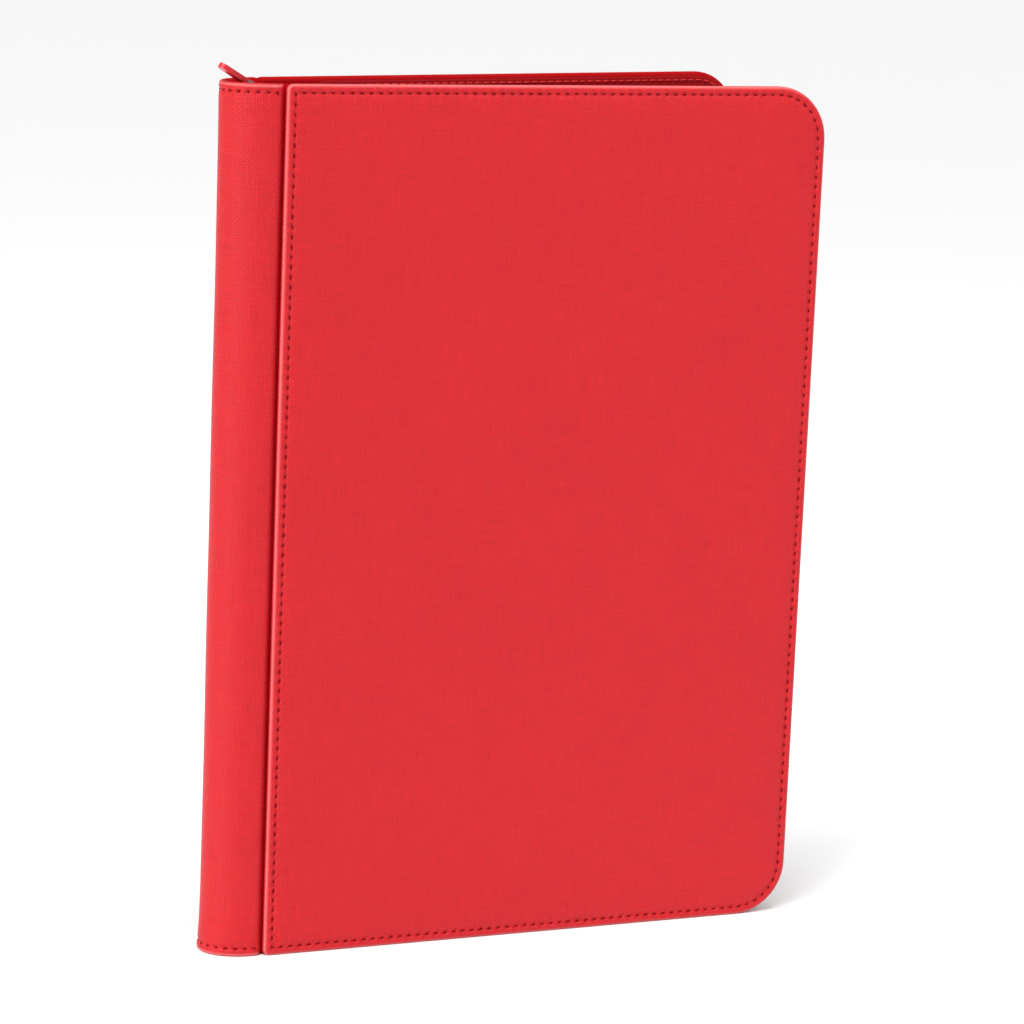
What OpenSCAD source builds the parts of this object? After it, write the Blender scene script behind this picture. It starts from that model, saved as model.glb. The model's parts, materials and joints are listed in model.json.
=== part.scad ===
// Zip-around nine-pocket trading card binder, standing on its bottom edge, unzipped and ajar.
// Origin: the foot of the spine, at the middle of its wall. +X to the fore edge, front cover
// towards -Y, back cover towards +Y, +Z up.

/* [Covers] */
// Height of the binder
panel_h = 355; // [300:1:430]
// Width of each cover panel, from the spine seam to the fore edge
panel_w = 236; // [190:1:290]
// Radius of the two fore-edge corners of each cover
corner_r = 22; // [14:1:40]
// Angle that each cover stands open at rest
rest_open = 5.3; // [3:0.1:8]
// Thickness of the greyboard in each cover
board_t = 2; // [1.5:0.1:3]
// Thickness of the foam over each board
padding_t = 1.2; // [0.8:0.1:2.5]
// Thickness of the woven outer skin
skin_t = 0.6; // [0.4:0.1:1]
// Thickness of the inner lining
lining_t = 0.6; // [0.4:0.1:1]
// Width of skin that is turned over the edge of the board
rim = 1.6; // [1:0.1:3]

/* [Spine] */
// Thickness of the closed binder over both covers
spine_t = 34; // [28:0.5:42]
// How far the spine bulges out beyond the seams
spine_depth = 20.5; // [17:0.5:26]
// How far each cover's turned edge stands proud of the spine
lap_step = 1.7; // [1:0.1:2.5]
// Thickness of the curved stiffener in the spine
spine_core_t = 1.5; // [1:0.1:2.5]
// Thickness of the spine's lining
spine_lining_t = 0.5; // [0.4:0.1:1]

/* [Pages] */
// Number of nine-pocket leaves, half of them opening with each cover
pages = 20; // [12:2:24]
// Thickness of one empty leaf
page_t = 0.6; // [0.4:0.05:0.7]
// Space between the leaves and the zip's wall above and below
page_head = 20.4; // [8:0.2:30]
// Corner radius of a leaf
page_corner = 4; // [2:0.5:8]
// Thickness of the strip that the leaves are sewn to
strip_t = 1.2; // [0.8:0.1:2]
// Number of stitches that hold the leaves to each other
sewing_stitches = 9; // [5:2:13]
// Radius of the sewing thread
thread_r = 0.5; // [0.3:0.05:0.8]

/* [Zip] */
// Distance from a cover's edge to the zip's wall
wall_in = 6.5; // [5:0.5:9]
// Thickness of the zip's woven tape
tape_t = 0.6; // [0.4:0.1:0.8]
// Distance from a cover's edge to the selvedge of the sewn tape
selvedge_in = 1.7; // [1.7:0.1:3]
// Width of one half of the coil
coil_w = 2.5; // [2:0.1:3]
// Height of the coil
coil_h = 2.4; // [2:0.1:3]
// Distance of each open half of the coil from the middle
coil_gap = 0.9; // [0.9:0.1:1.5]
// Distance from the seam to where the front tape is sewn to its cover
sewn_from = 28; // [25:1:45]

/* [Slider] */
// Length of the slider
slider_len = 11.6; // [10:0.2:14]
// Thickness of the slider's two plates
plate_t = 1; // [0.8:0.1:1.5]
// Length of the pull's link, from pin to pin
link_len = 5.5; // [5:0.1:8]
// Radius of the link's pins
pin_r = 0.6; // [0.5:0.05:0.8]
// Length of the pull tab beyond its pin
tab_len = 13.5; // [10:0.5:30]
// Width of the pull tab
tab_w = 5.2; // [4:0.1:6]
// Thickness of the pull tab
tab_t = 2; // [1:0.1:2.4]
// Angle of the pull at rest, up from the zip's closing direction
pull_rest = 150; // [100:1:155]

/* [Hidden] */
$fn = 48;
// Clearances
hinge_gap = 0.3;      // spine to the rolled edge of a cover
stack_clear = 1.5;    // outermost leaf to the lining
crease_clear = 2.1;   // outermost crease to the inside of an open cover
crease_gap = 0.3;     // fixed margin of a leaf to its turning part
leaf_clear = 2.5;     // leaf to the zip's wall at the fore edge
stub_clear = 0.3;     // fixed margins to the spine's lining
slider_clear = 0.4;   // slider to the coil
tape_slot = 0.3;      // slider to the tape
post_clear = 0.3;     // slider's post to the coil
pin_clear = 0.08;     // pull tab's eye on the link
loose = 0.5;          // link in the slider's bridge
end_clear = 0.2;      // slider to the tail's end tab

// Covers
cover_t = skin_t + padding_t + board_t + lining_t;
nose_r = cover_t / 2;
hinge_w = spine_t / 2 - nose_r;

// Spine
spine_wall = skin_t + spine_core_t + spine_lining_t;
seam_x = spine_depth - spine_wall / 2;
spine_half = spine_t / 2 - lap_step;
bore_depth = spine_depth - spine_wall;
bore_half = spine_half - spine_wall;
arc_steps = 36;

// Pages
half_pages = pages / 2;
page_pitch = (spine_t - 2 * cover_t - 2 * stack_clear - page_t) / (pages - 1);
stack_half = (pages - 1) / 2 * page_pitch + page_t / 2;
strip_face = -bore_depth * sqrt(1 - pow((stack_half + stub_clear) / bore_half, 2));
first_crease = cover_t + crease_clear;
page_z = wall_in + tape_t + page_head;
page_h = panel_h - 2 * page_z;
leaf_w = panel_w - wall_in - tape_t - leaf_clear - crease(half_pages);

// Zip
coil_in = wall_in + tape_t / 2;
zip_z = panel_h - coil_in;
coil_w0 = spine_t / 2 - coil_gap - coil_w;
coil_w1 = spine_t / 2 - coil_gap;
tape_w1 = coil_w0 + coil_w * 0.6;
tail_tape = 2;
tail_end = -(bore_depth - 3.9);
end_tab_len = 2;
tab_over = 1;

// Slider
slider_u = tail_end + end_tab_len + end_clear + slider_len / 2;
channel_h = coil_h / 2 + slider_clear;
channel_w = coil_gap + coil_w + slider_clear;
flange_w = 1;
post_w = 2 * (coil_gap - post_clear);
bridge_wall = 0.8;
bridge_w = 2.2;
pin_z = zip_z + channel_h + plate_t + pin_r + loose;
pin_u = slider_u - 2.2;
arm_t = 0.8;
arm_r = pin_r + 0.3;
link_half = tab_w / 2 + end_clear;

// A leaf's place in its half of the stack: 1 lies against a cover, the last lies in the middle.
function place(i) = min(i, pages + 1 - i);
function page_name(i) = str("page_", i < 10 ? "0" : "", i);
// Distance of a leaf's crease from the seam; it grows inwards, so that an opened leaf clears the next.
function crease(k) = first_crease + (k - 1) * page_pitch;
// Share of its cover's turn that a leaf makes.
function fan_ratio(k) = 1 - (k - 0.4) / (half_pages + 0.4);
// Points round the spine's half ellipse, a given depth inside its outer face.
function spine_arc(inside) = [
    for (s = [0 : arc_steps]) let (t = -90 + 180 * s / arc_steps)
        [-(spine_depth - inside) * cos(t) - hinge_gap, (spine_half - inside) * sin(t)]
];
// Plan position of a point of the front cover, and of one measured from the middle of the open zip.
function front_point(u, w) = [
    seam_x + nose_r + (u - nose_r) * cos(rest_open) + (w - nose_r) * sin(rest_open),
    -hinge_w - (u - nose_r) * sin(rest_open) + (w - nose_r) * cos(rest_open)
];
function middle_point(u, v) = [
    seam_x + nose_r + (u - nose_r) * cos(rest_open) - (v - hinge_w) * sin(rest_open),
    hinge_w + (u - nose_r) * sin(rest_open) + (v - hinge_w) * cos(rest_open)
];
function reversed(list) = [for (i = [len(list) - 1 : -1 : 0]) list[i]];

// ---- Placing -------------------------------------------------------------------------------
// Covers are drawn closed, in their own axes: u from the seam, w inwards from the outer face.

module on_front(open = rest_open) {
    translate([seam_x + nose_r, -hinge_w, 0])
        rotate([0, 0, -open])
            translate([-nose_r, -nose_r, 0])
                children();
}

module on_back(open = rest_open) {
    mirror([0, 1, 0])
        on_front(open)
            children();
}

// ---- Covers --------------------------------------------------------------------------------

// Outline of a cover in u and z, a given distance inside its edge and starting at u = from.
module cover_outline(inside, from) {
    r = corner_r - inside;
    translate([from, inside])
        square([panel_w - corner_r - from, panel_h - 2 * inside]);
    translate([panel_w - corner_r, corner_r])
        square([r, panel_h - 2 * corner_r]);
    for (z = [corner_r, panel_h - corner_r])
        translate([panel_w - corner_r, z])
            circle(r = r, $fn = 96);
}

// A sheet of the cover's outline between two depths.
module cover_sheet(inside, from, w0, w1) {
    translate([0, w1, 0])
        rotate([90, 0, 0])
            linear_extrude(w1 - w0)
                cover_outline(inside, from);
}

module cover_skin() {
    color("crimson")
        difference() {
            union() {
                cover_sheet(0, nose_r, 0, cover_t);
                translate([nose_r, nose_r, 0])
                    cylinder(r = nose_r, h = panel_h);
            }
            cover_sheet(rim, nose_r + rim, skin_t, cover_t + 1);
        }
}

module cover_padding() {
    color("ivory")
        cover_sheet(rim, nose_r + rim, skin_t, skin_t + padding_t);
}

module cover_board() {
    color("tan")
        cover_sheet(rim, nose_r + rim, skin_t + padding_t, cover_t - lining_t);
}

module cover_lining() {
    color("firebrick")
        cover_sheet(rim, nose_r + rim, cover_t - lining_t, cover_t);
}

// ---- Zip -----------------------------------------------------------------------------------

// A band that follows the cover's top, fore edge and bottom, between two distances inside them.
module edge_band(in0, in1, from, w0, w1) {
    difference() {
        cover_sheet(in0, from, w0, w1);
        cover_sheet(in1, from - 1, w0 - 1, w1 + 1);
    }
}

// A straight strip along the top of the binder, in the plane of the zip.
module top_strip(u0, u1, w0, w1, h) {
    translate([u0, w0, zip_z - h / 2])
        cube([u1 - u0, w1 - w0, h]);
}

module zip_tape(tail) {
    color("darkred") {
        edge_band(selvedge_in, wall_in + tape_t, sewn_from, cover_t, cover_t + tape_t);
        edge_band(wall_in, wall_in + tape_t, sewn_from, cover_t, tape_w1);
        if (tail)
            top_strip(tail_end, sewn_from, coil_w0 - tail_tape, tape_w1, tape_t);
    }
}

module zip_coil(tail) {
    color("maroon")
        difference() {
            union() {
                edge_band(coil_in - coil_h / 2, coil_in + coil_h / 2, sewn_from, coil_w0, coil_w1);
                if (tail)
                    top_strip(tail_end, sewn_from, coil_w0, coil_w1, coil_h);
            }
            edge_band(wall_in, wall_in + tape_t, sewn_from - 1, coil_w0 - 1, tape_w1);
            if (tail)
                top_strip(tail_end - 1, sewn_from, coil_w0 - 1, tape_w1, tape_t);
        }
}

// Section of a loose tail: half a coil with a narrow margin of tape, w measured from the middle.
module tail_block(u, len, side) {
    translate([u, side > 0 ? coil_gap : -coil_gap - coil_w, -coil_h / 2])
        cube([len, coil_w, coil_h]);
    translate([u, side > 0 ? coil_gap : -coil_gap - coil_w - tail_tape, -tape_t / 2])
        cube([len, coil_w + tail_tape, tape_t]);
}

module top_end_tab() {
    color("crimson")
        on_back()
            difference() {
                top_strip(tail_end - tab_over, tail_end + end_tab_len,
                          coil_w0 - tail_tape, coil_w1, coil_h + 2 * skin_t);
                top_strip(tail_end, tail_end + end_tab_len + 1,
                          coil_w0 - tail_tape - 1, coil_w1 + 1, coil_h);
            }
}

// A loose tail in plan: straight from its end to the seam, then over to where the zip is sewn on.
module tail_plan(root, sewn, h) {
    translate([0, 0, -h / 2])
        linear_extrude(h)
            polygon([root[0], root[1], sewn[0], sewn[1], root[2], root[3]]);
}

module front_top_tail() {
    color("darkred")
        translate([0, 0, zip_z])
            for (strip = [[coil_w, coil_h], [coil_w + tail_tape, tape_t]])
                // the straight part lies in the slider, so it follows the back half of the zip
                tail_plan(
                    [middle_point(tail_end, -coil_gap), middle_point(0, -coil_gap),
                     middle_point(0, -coil_gap - strip[0]), middle_point(tail_end, -coil_gap - strip[0])],
                    [front_point(sewn_from - hinge_gap, coil_w1),
                     front_point(sewn_from - hinge_gap, coil_w1 - strip[0])],
                    strip[1]);
}

// Places a child drawn about the middle plane in the back cover's turned axes.
module mirrored_back() {
    translate([seam_x + nose_r, hinge_w, 0])
        rotate([0, 0, rest_open])
            translate([-nose_r, -hinge_w, 0])
                children();
}

module bottom_tail() {
    color("darkred")
        translate([0, 0, coil_in])
            for (strip = [[coil_w, coil_h], [coil_w + tail_tape, tape_t]])
                tail_plan(
                    [[seam_x + tail_end, -coil_gap], [seam_x, -coil_gap],
                     [seam_x, -coil_gap - strip[0]], [seam_x + tail_end, -coil_gap - strip[0]]],
                    [front_point(sewn_from - hinge_gap, coil_w1),
                     front_point(sewn_from - hinge_gap, coil_w1 - strip[0])],
                    strip[1]);
}

module bottom_stop() {
    color("silver")
        difference() {
            translate([seam_x + tail_end + 1, -channel_w, coil_in - channel_h])
                cube([end_tab_len, 2 * channel_w, 2 * channel_h]);
            translate([seam_x, 0, coil_in])
                for (side = [-1, 1])
                    tail_block(tail_end, -tail_end, side);
        }
}

// ---- Slider and pull -----------------------------------------------------------------------

// The slider is drawn about the middle plane, at its parked place on the zip's tail.
module slider_body() {
    outer = channel_w + flange_w;
    color("firebrick")
        mirrored_back()
            translate([slider_u, 0, zip_z]) {
                for (s = [-1, 1]) {
                    translate([-slider_len / 2, -outer, s > 0 ? channel_h : -channel_h - plate_t])
                        cube([slider_len, 2 * outer, plate_t]);
                    for (t = [-1, 1])
                        translate([-slider_len / 2, t > 0 ? channel_w : -outer,
                                   s > 0 ? tape_t / 2 + tape_slot : -channel_h])
                            cube([slider_len, flange_w, channel_h - tape_t / 2 - tape_slot]);
                }
                translate([slider_len / 2 - 3, -post_w / 2, -channel_h])
                    cube([2.8, post_w, 2 * channel_h]);
            }
}

module slider_bridge() {
    foot = zip_z + channel_h + plate_t;
    tunnel_h = 2 * (pin_r + loose);
    tunnel_l = tunnel_h + 1.4;
    color("firebrick")
        mirrored_back()
            translate([pin_u - pin_r - loose, -bridge_w / 2, foot])
                difference() {
                    translate([-bridge_wall, 0, 0])
                        cube([tunnel_l + 2 * bridge_wall, bridge_w, tunnel_h + bridge_wall]);
                    translate([0, -1, -1])
                        cube([tunnel_l, bridge_w + 2, tunnel_h + 1]);
                }
}

// Places a child drawn along +X from the link's pin, turned up to the pull's angle at rest.
module on_pull() {
    mirrored_back()
        translate([pin_u, 0, pin_z])
            rotate([0, -pull_rest, 0])
                children();
}

module cross_pin(u, r, half) {
    translate([u, half, 0])
        rotate([90, 0, 0])
            cylinder(r = r, h = 2 * half);
}

// Two stamped side plates and the pins between them.
module pull_link() {
    color("silver")
        on_pull()
            for (u = [0, link_len])
                cross_pin(u, pin_r, link_half + arm_t);
    color("silver")
        on_pull()
            for (s = [0, 1])
                mirror([0, s, 0])
                    translate([0, link_half, 0]) {
                        translate([0, 0, -arm_r])
                            cube([link_len, arm_t, 2 * arm_r]);
                        for (u = [0, link_len])
                            translate([u, arm_t, 0])
                                rotate([90, 0, 0])
                                    cylinder(r = arm_r, h = arm_t);
                    }
}

module pull_tab() {
    eye_r = pin_r + pin_clear + 0.8;
    color("crimson")
        on_pull()
            translate([link_len, 0, 0])
                difference() {
                    union() {
                        cross_pin(0, eye_r, tab_w / 2);
                        translate([0, -tab_w / 2, -tab_t / 2])
                            cube([tab_len - tab_w / 2, tab_w, tab_t]);
                        translate([tab_len - tab_w / 2, 0, -tab_t / 2])
                            cylinder(r = tab_w / 2, h = tab_t);
                    }
                    cross_pin(0, pin_r + pin_clear, tab_w);
                }
}

// ---- Spine ---------------------------------------------------------------------------------

module spine_shell(in0, in1) {
    translate([seam_x, 0, 0])
        linear_extrude(panel_h)
            polygon(concat(spine_arc(in0), reversed(spine_arc(in1))));
}

module spine_skin() {
    color("crimson")
        spine_shell(0, skin_t);
}

module spine_core() {
    color("tan")
        spine_shell(skin_t, skin_t + spine_core_t);
}

module spine_lining() {
    color("firebrick")
        spine_shell(skin_t + spine_core_t, spine_wall);
}

// ---- Pages ---------------------------------------------------------------------------------

// Heights of the stitches that go through the leaves' margins.
sewing_z = [
    for (s = [0 : sewing_stitches - 1]) page_z + page_h * (s + 0.5) / sewing_stitches
];
sewing_x = strip_face + 3;

module sewing(r, half) {
    for (z = sewing_z)
        translate([seam_x + sewing_x, half, z])
            rotate([90, 0, 0])
                cylinder(r = r, h = 2 * half);
}

module binding_strip() {
    reach = bore_half * sqrt(1 - pow((strip_t - strip_face) / bore_depth, 2)) - 0.1;
    color("black")
        translate([seam_x + strip_face - strip_t, -reach, page_z])
            cube([strip_t, 2 * reach, page_h]);
}

module page_margins() {
    color("black")
        difference() {
            for (i = [1 : pages])
                translate([seam_x + strip_face, page_y(i) - page_t / 2, page_z])
                    cube([crease(place(i)) - page_t / 2 - crease_gap - strip_face, page_t, page_h]);
            sewing(thread_r, spine_t);
        }
}

function page_y(i) = (i - (pages + 1) / 2) * page_pitch;

module binding_thread() {
    color("ivory")
        sewing(thread_r, stack_half + thread_r);
}

// One turning leaf, with its round crease edge on the joint's axis.
module page(i) {
    k = place(i);
    turn = (i <= half_pages ? -1 : 1) * fan_ratio(k) * rest_open;
    color("dimgray")
        translate([seam_x + crease(k), page_y(i), page_z])
            rotate([0, 0, turn]) {
                cylinder(r = page_t / 2, h = page_h);
                translate([0, page_t / 2, 0])
                    rotate([90, 0, 0])
                        linear_extrude(page_t)
                            leaf_outline();
            }
}

module leaf_outline() {
    square([leaf_w - page_corner, page_h]);
    translate([0, page_corner])
        square([leaf_w, page_h - 2 * page_corner]);
    for (z = [page_corner, page_h - page_corner])
        translate([leaf_w - page_corner, z])
            circle(r = page_corner);
}

// ---- Nodes ---------------------------------------------------------------------------------

spine_skin();
spine_core();
spine_lining();
binding_strip();
page_margins();
binding_thread();
on_front() cover_skin();  // front_skin
on_front() cover_padding();  // front_padding
on_front() cover_board();  // front_board
on_front() cover_lining();  // front_lining
on_front() zip_tape(false);  // front_zip_tape
on_front() zip_coil(false);  // front_zip_coil
on_back() cover_skin();  // back_skin
on_back() cover_padding();  // back_padding
on_back() cover_board();  // back_board
on_back() cover_lining();  // back_lining
on_back() zip_tape(true);  // back_zip_tape
on_back() zip_coil(true);  // back_zip_coil
front_top_tail();
bottom_tail();  // front_bottom_tail
mirror([0, 1, 0]) bottom_tail();  // back_bottom_tail
top_end_tab();
bottom_stop();
slider_body();
slider_bridge();
pull_link();
pull_tab();
for (i = [1 : pages])
    page(i);
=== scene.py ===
# Zip-around nine-pocket trading card binder, standing ajar on its bottom edge.
# Metres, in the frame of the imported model; the drawing values below are in millimetres.
import json
import math
import random

import bmesh
import bpy
from mathutils import Matrix, Vector


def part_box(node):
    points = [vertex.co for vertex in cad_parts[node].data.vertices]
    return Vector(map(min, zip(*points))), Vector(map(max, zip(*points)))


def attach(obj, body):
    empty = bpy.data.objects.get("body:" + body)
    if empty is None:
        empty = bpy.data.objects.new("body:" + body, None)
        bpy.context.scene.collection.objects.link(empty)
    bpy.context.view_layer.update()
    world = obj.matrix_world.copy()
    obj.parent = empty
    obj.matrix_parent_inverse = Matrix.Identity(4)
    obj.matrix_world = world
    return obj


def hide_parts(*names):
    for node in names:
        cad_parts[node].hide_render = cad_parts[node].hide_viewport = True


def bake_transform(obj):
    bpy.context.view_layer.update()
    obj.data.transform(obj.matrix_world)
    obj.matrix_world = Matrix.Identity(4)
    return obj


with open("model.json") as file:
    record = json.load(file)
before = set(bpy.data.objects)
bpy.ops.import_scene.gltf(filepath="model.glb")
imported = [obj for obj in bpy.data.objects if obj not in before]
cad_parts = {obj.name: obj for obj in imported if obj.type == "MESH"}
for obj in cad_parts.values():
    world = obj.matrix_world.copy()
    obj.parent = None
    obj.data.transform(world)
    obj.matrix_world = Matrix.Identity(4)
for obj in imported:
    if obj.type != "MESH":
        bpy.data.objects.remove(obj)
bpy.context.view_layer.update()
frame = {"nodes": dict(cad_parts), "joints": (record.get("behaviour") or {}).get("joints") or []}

scene = bpy.context.scene
MM = 0.001

# ---- Frame ---------------------------------------------------------------------------------
# Where the covers are: their hinge lines, the angle that they stand ajar, and their size.
# A cover's own axes are u from the seam, w inwards from its outer face, and z up.
joints = {joint["name"]: joint for joint in frame["joints"]}
hinge = Vector(joints["front_hinge"]["pos_m"]) / MM
ajar = math.radians(-joints["front_hinge"]["range_deg"][0])
NOSE = 2.2
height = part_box("front_skin")[1].z / MM
seam_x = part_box("front_skin")[0].x / MM
width = 236.0
CORNER = 22.0


def on_cover(side, u, w, z):
    c, s = math.cos(ajar), math.sin(ajar)
    x = hinge.x + (u - NOSE) * c + (w - NOSE) * s
    y = hinge.y - (u - NOSE) * s + (w - NOSE) * c
    return Vector((x, y if side == "front" else -y, z)) * MM


# ---- Camera --------------------------------------------------------------------------------
# A long lens, a little above the middle of the front cover and to the left of it,
# so that the spine shows. The hand-held frame leans by about two degrees.
azimuth, elevation, roll = math.radians(-28.19), math.radians(11.38), math.radians(2.34)
back = Vector((math.sin(azimuth) * math.cos(elevation), -math.cos(azimuth) * math.cos(elevation),
               math.sin(elevation)))
right = (-back).cross(Vector((0, 0, 1))).normalized()
above = right.cross(-back)
right, above = (
    math.cos(roll) * right + math.sin(roll) * above,
    -math.sin(roll) * right + math.cos(roll) * above,
)
camera = bpy.data.objects.new("camera", bpy.data.cameras.new("camera"))
scene.collection.objects.link(camera)
camera.data.lens = 130.4
camera.data.sensor_width = 36
camera.data.clip_start, camera.data.clip_end = 0.05, 60
middle = on_cover("front", width / 2, 0, height / 2)
turn = Matrix((right, above, back)).transposed().to_4x4()
camera.matrix_world = Matrix.Translation(middle - 0.0149 * right + 0.00286 * above + 1.5229 * back) @ turn
scene.camera = camera

# ---- Light and floor -----------------------------------------------------------------------
# A pale floor in a white room: a broad soft key from the upper left and a tall narrow light
# beside it round the spine, a fill from the right, and one overhead for the rolled edges.
scene.view_settings.view_transform = "Standard"
scene.view_settings.look = "None"
world = bpy.data.worlds.new("studio")
scene.world = world
world.use_nodes = True
sky = world.node_tree.nodes["Background"]
sky.inputs["Color"].default_value = (1, 1, 1, 1)
sky.inputs["Strength"].default_value = 0.64
backdrop = world.node_tree.nodes.new("ShaderNodeBackground")
backdrop.inputs["Color"].default_value = (1, 1, 1, 1)
backdrop.inputs["Strength"].default_value = 1.0
seen = world.node_tree.nodes.new("ShaderNodeLightPath")
either = world.node_tree.nodes.new("ShaderNodeMixShader")
world.node_tree.links.new(seen.outputs["Is Camera Ray"], either.inputs[0])
world.node_tree.links.new(sky.outputs[0], either.inputs[1])
world.node_tree.links.new(backdrop.outputs[0], either.inputs[2])
world.node_tree.links.new(either.outputs[0], world.node_tree.nodes["World Output"].inputs["Surface"])


def aimed(name, kind, where, aim, power):
    light = bpy.data.objects.new(name, bpy.data.lights.new(name, kind))
    scene.collection.objects.link(light)
    light.data.energy = power
    light.location = where
    light.rotation_mode = "QUATERNION"
    light.rotation_quaternion = (Vector(aim) - Vector(where)).to_track_quat("-Z", "Y")
    return light


key = aimed("key", "SUN", (-1.7, -0.75, 1.35), (0, 0, 0.15), 2.2)
key.data.angle = math.radians(38)
for name, where, aim, size, power in (
    ("strip", (-1.5, -0.35, 0.35), (0.0, -0.02, 0.18), (0.14, 1.2), 9.0),
    ("fill", (0.95, -0.75, 1.0), (0.26, -0.02, 0.34), (0.7, 0.7), 3.4),
    ("top", (0.1, -0.25, 1.5), (0.12, 0, 0.35), (0.9, 0.5), 12.0),
):
    panel = aimed(name, "AREA", where, aim, power)
    panel.data.shape = "RECTANGLE"
    panel.data.size, panel.data.size_y = size

floor_mesh = bpy.data.meshes.new("floor")
floor_form = bmesh.new()
rings = [0.0, 0.4, 1.2, 3.0, 9.0, 25.0]
loops = []
for radius in rings[1:]:
    loops.append([
        floor_form.verts.new((radius * math.cos(2 * math.pi * k / 64), radius
                              * math.sin(2 * math.pi * k / 64), 0))
        for k in range(64)
    ])
floor_form.faces.new(loops[0])
for inner, outer in zip(loops, loops[1:]):
    for k in range(64):
        floor_form.faces.new((inner[k], outer[k], outer[(k + 1) % 64], inner[(k + 1) % 64]))
floor_form.to_mesh(floor_mesh)
floor = bpy.data.objects.new("floor", floor_mesh)
scene.collection.objects.link(floor)
pale = bpy.data.materials.new("pale_floor")
pale.use_nodes = True
pale.node_tree.nodes["Principled BSDF"].inputs["Base Color"].default_value = (0.93, 0.93, 0.93, 1)
pale.node_tree.nodes["Principled BSDF"].inputs["Roughness"].default_value = 0.75
pale.node_tree.nodes["Principled BSDF"].inputs["Specular IOR Level"].default_value = 0.2
floor.data.materials.append(pale)

# ---- Cloth materials -----------------------------------------------------------------------
# A plain weave of coarse yarns: its warp and weft pass over each other, with slubs along both.
# The UV map named Cloth is in millimetres; Seam holds the length along a stitch row and the
# distance in from the edge, and puckers the cloth at each stitch.
# Colour is painted from the same maps: shade in the weave's hollows and in the stitch dimples, and a
# highlight along each rolled edge.


def new_material(name, colour, roughness, specular=0.5, metallic=0.0):
    made = bpy.data.materials.new(name)
    made.use_nodes = True
    shader = made.node_tree.nodes["Principled BSDF"]
    shader.inputs["Base Color"].default_value = (*colour, 1)
    shader.inputs["Roughness"].default_value = roughness
    shader.inputs["Specular IOR Level"].default_value = specular
    shader.inputs["Metallic"].default_value = metallic
    return made, made.node_tree, shader


def calc(tree, operation, a, b=None, clamp=False):
    node = tree.nodes.new("ShaderNodeMath")
    node.operation = operation
    node.use_clamp = clamp
    for socket, value in zip(node.inputs, (a, b)):
        if value is None:
            continue
        if isinstance(value, (int, float)):
            socket.default_value = value
        else:
            tree.links.new(value, socket)
    return node.outputs[0]


def noise_at(tree, coordinate, stretch, detail=2.0, seed=0.0):
    mapping = tree.nodes.new("ShaderNodeMapping")
    mapping.inputs["Scale"].default_value = stretch
    mapping.inputs["Location"].default_value = (seed, seed * 1.7, 0)
    noise = tree.nodes.new("ShaderNodeTexNoise")
    noise.inputs["Scale"].default_value = 1.0
    noise.inputs["Detail"].default_value = detail
    tree.links.new(coordinate, mapping.inputs["Vector"])
    tree.links.new(mapping.outputs[0], noise.inputs["Vector"])
    return noise.outputs["Fac"]


def add_bump(tree, shader, heights, distance):
    bump = tree.nodes.new("ShaderNodeBump")
    bump.inputs["Strength"].default_value = 1.0
    bump.inputs["Distance"].default_value = distance
    tree.links.new(heights, bump.inputs["Height"])
    if shader.inputs["Normal"].is_linked:
        tree.links.new(shader.inputs["Normal"].links[0].from_socket, bump.inputs["Normal"])
    tree.links.new(bump.outputs[0], shader.inputs["Normal"])


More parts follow.
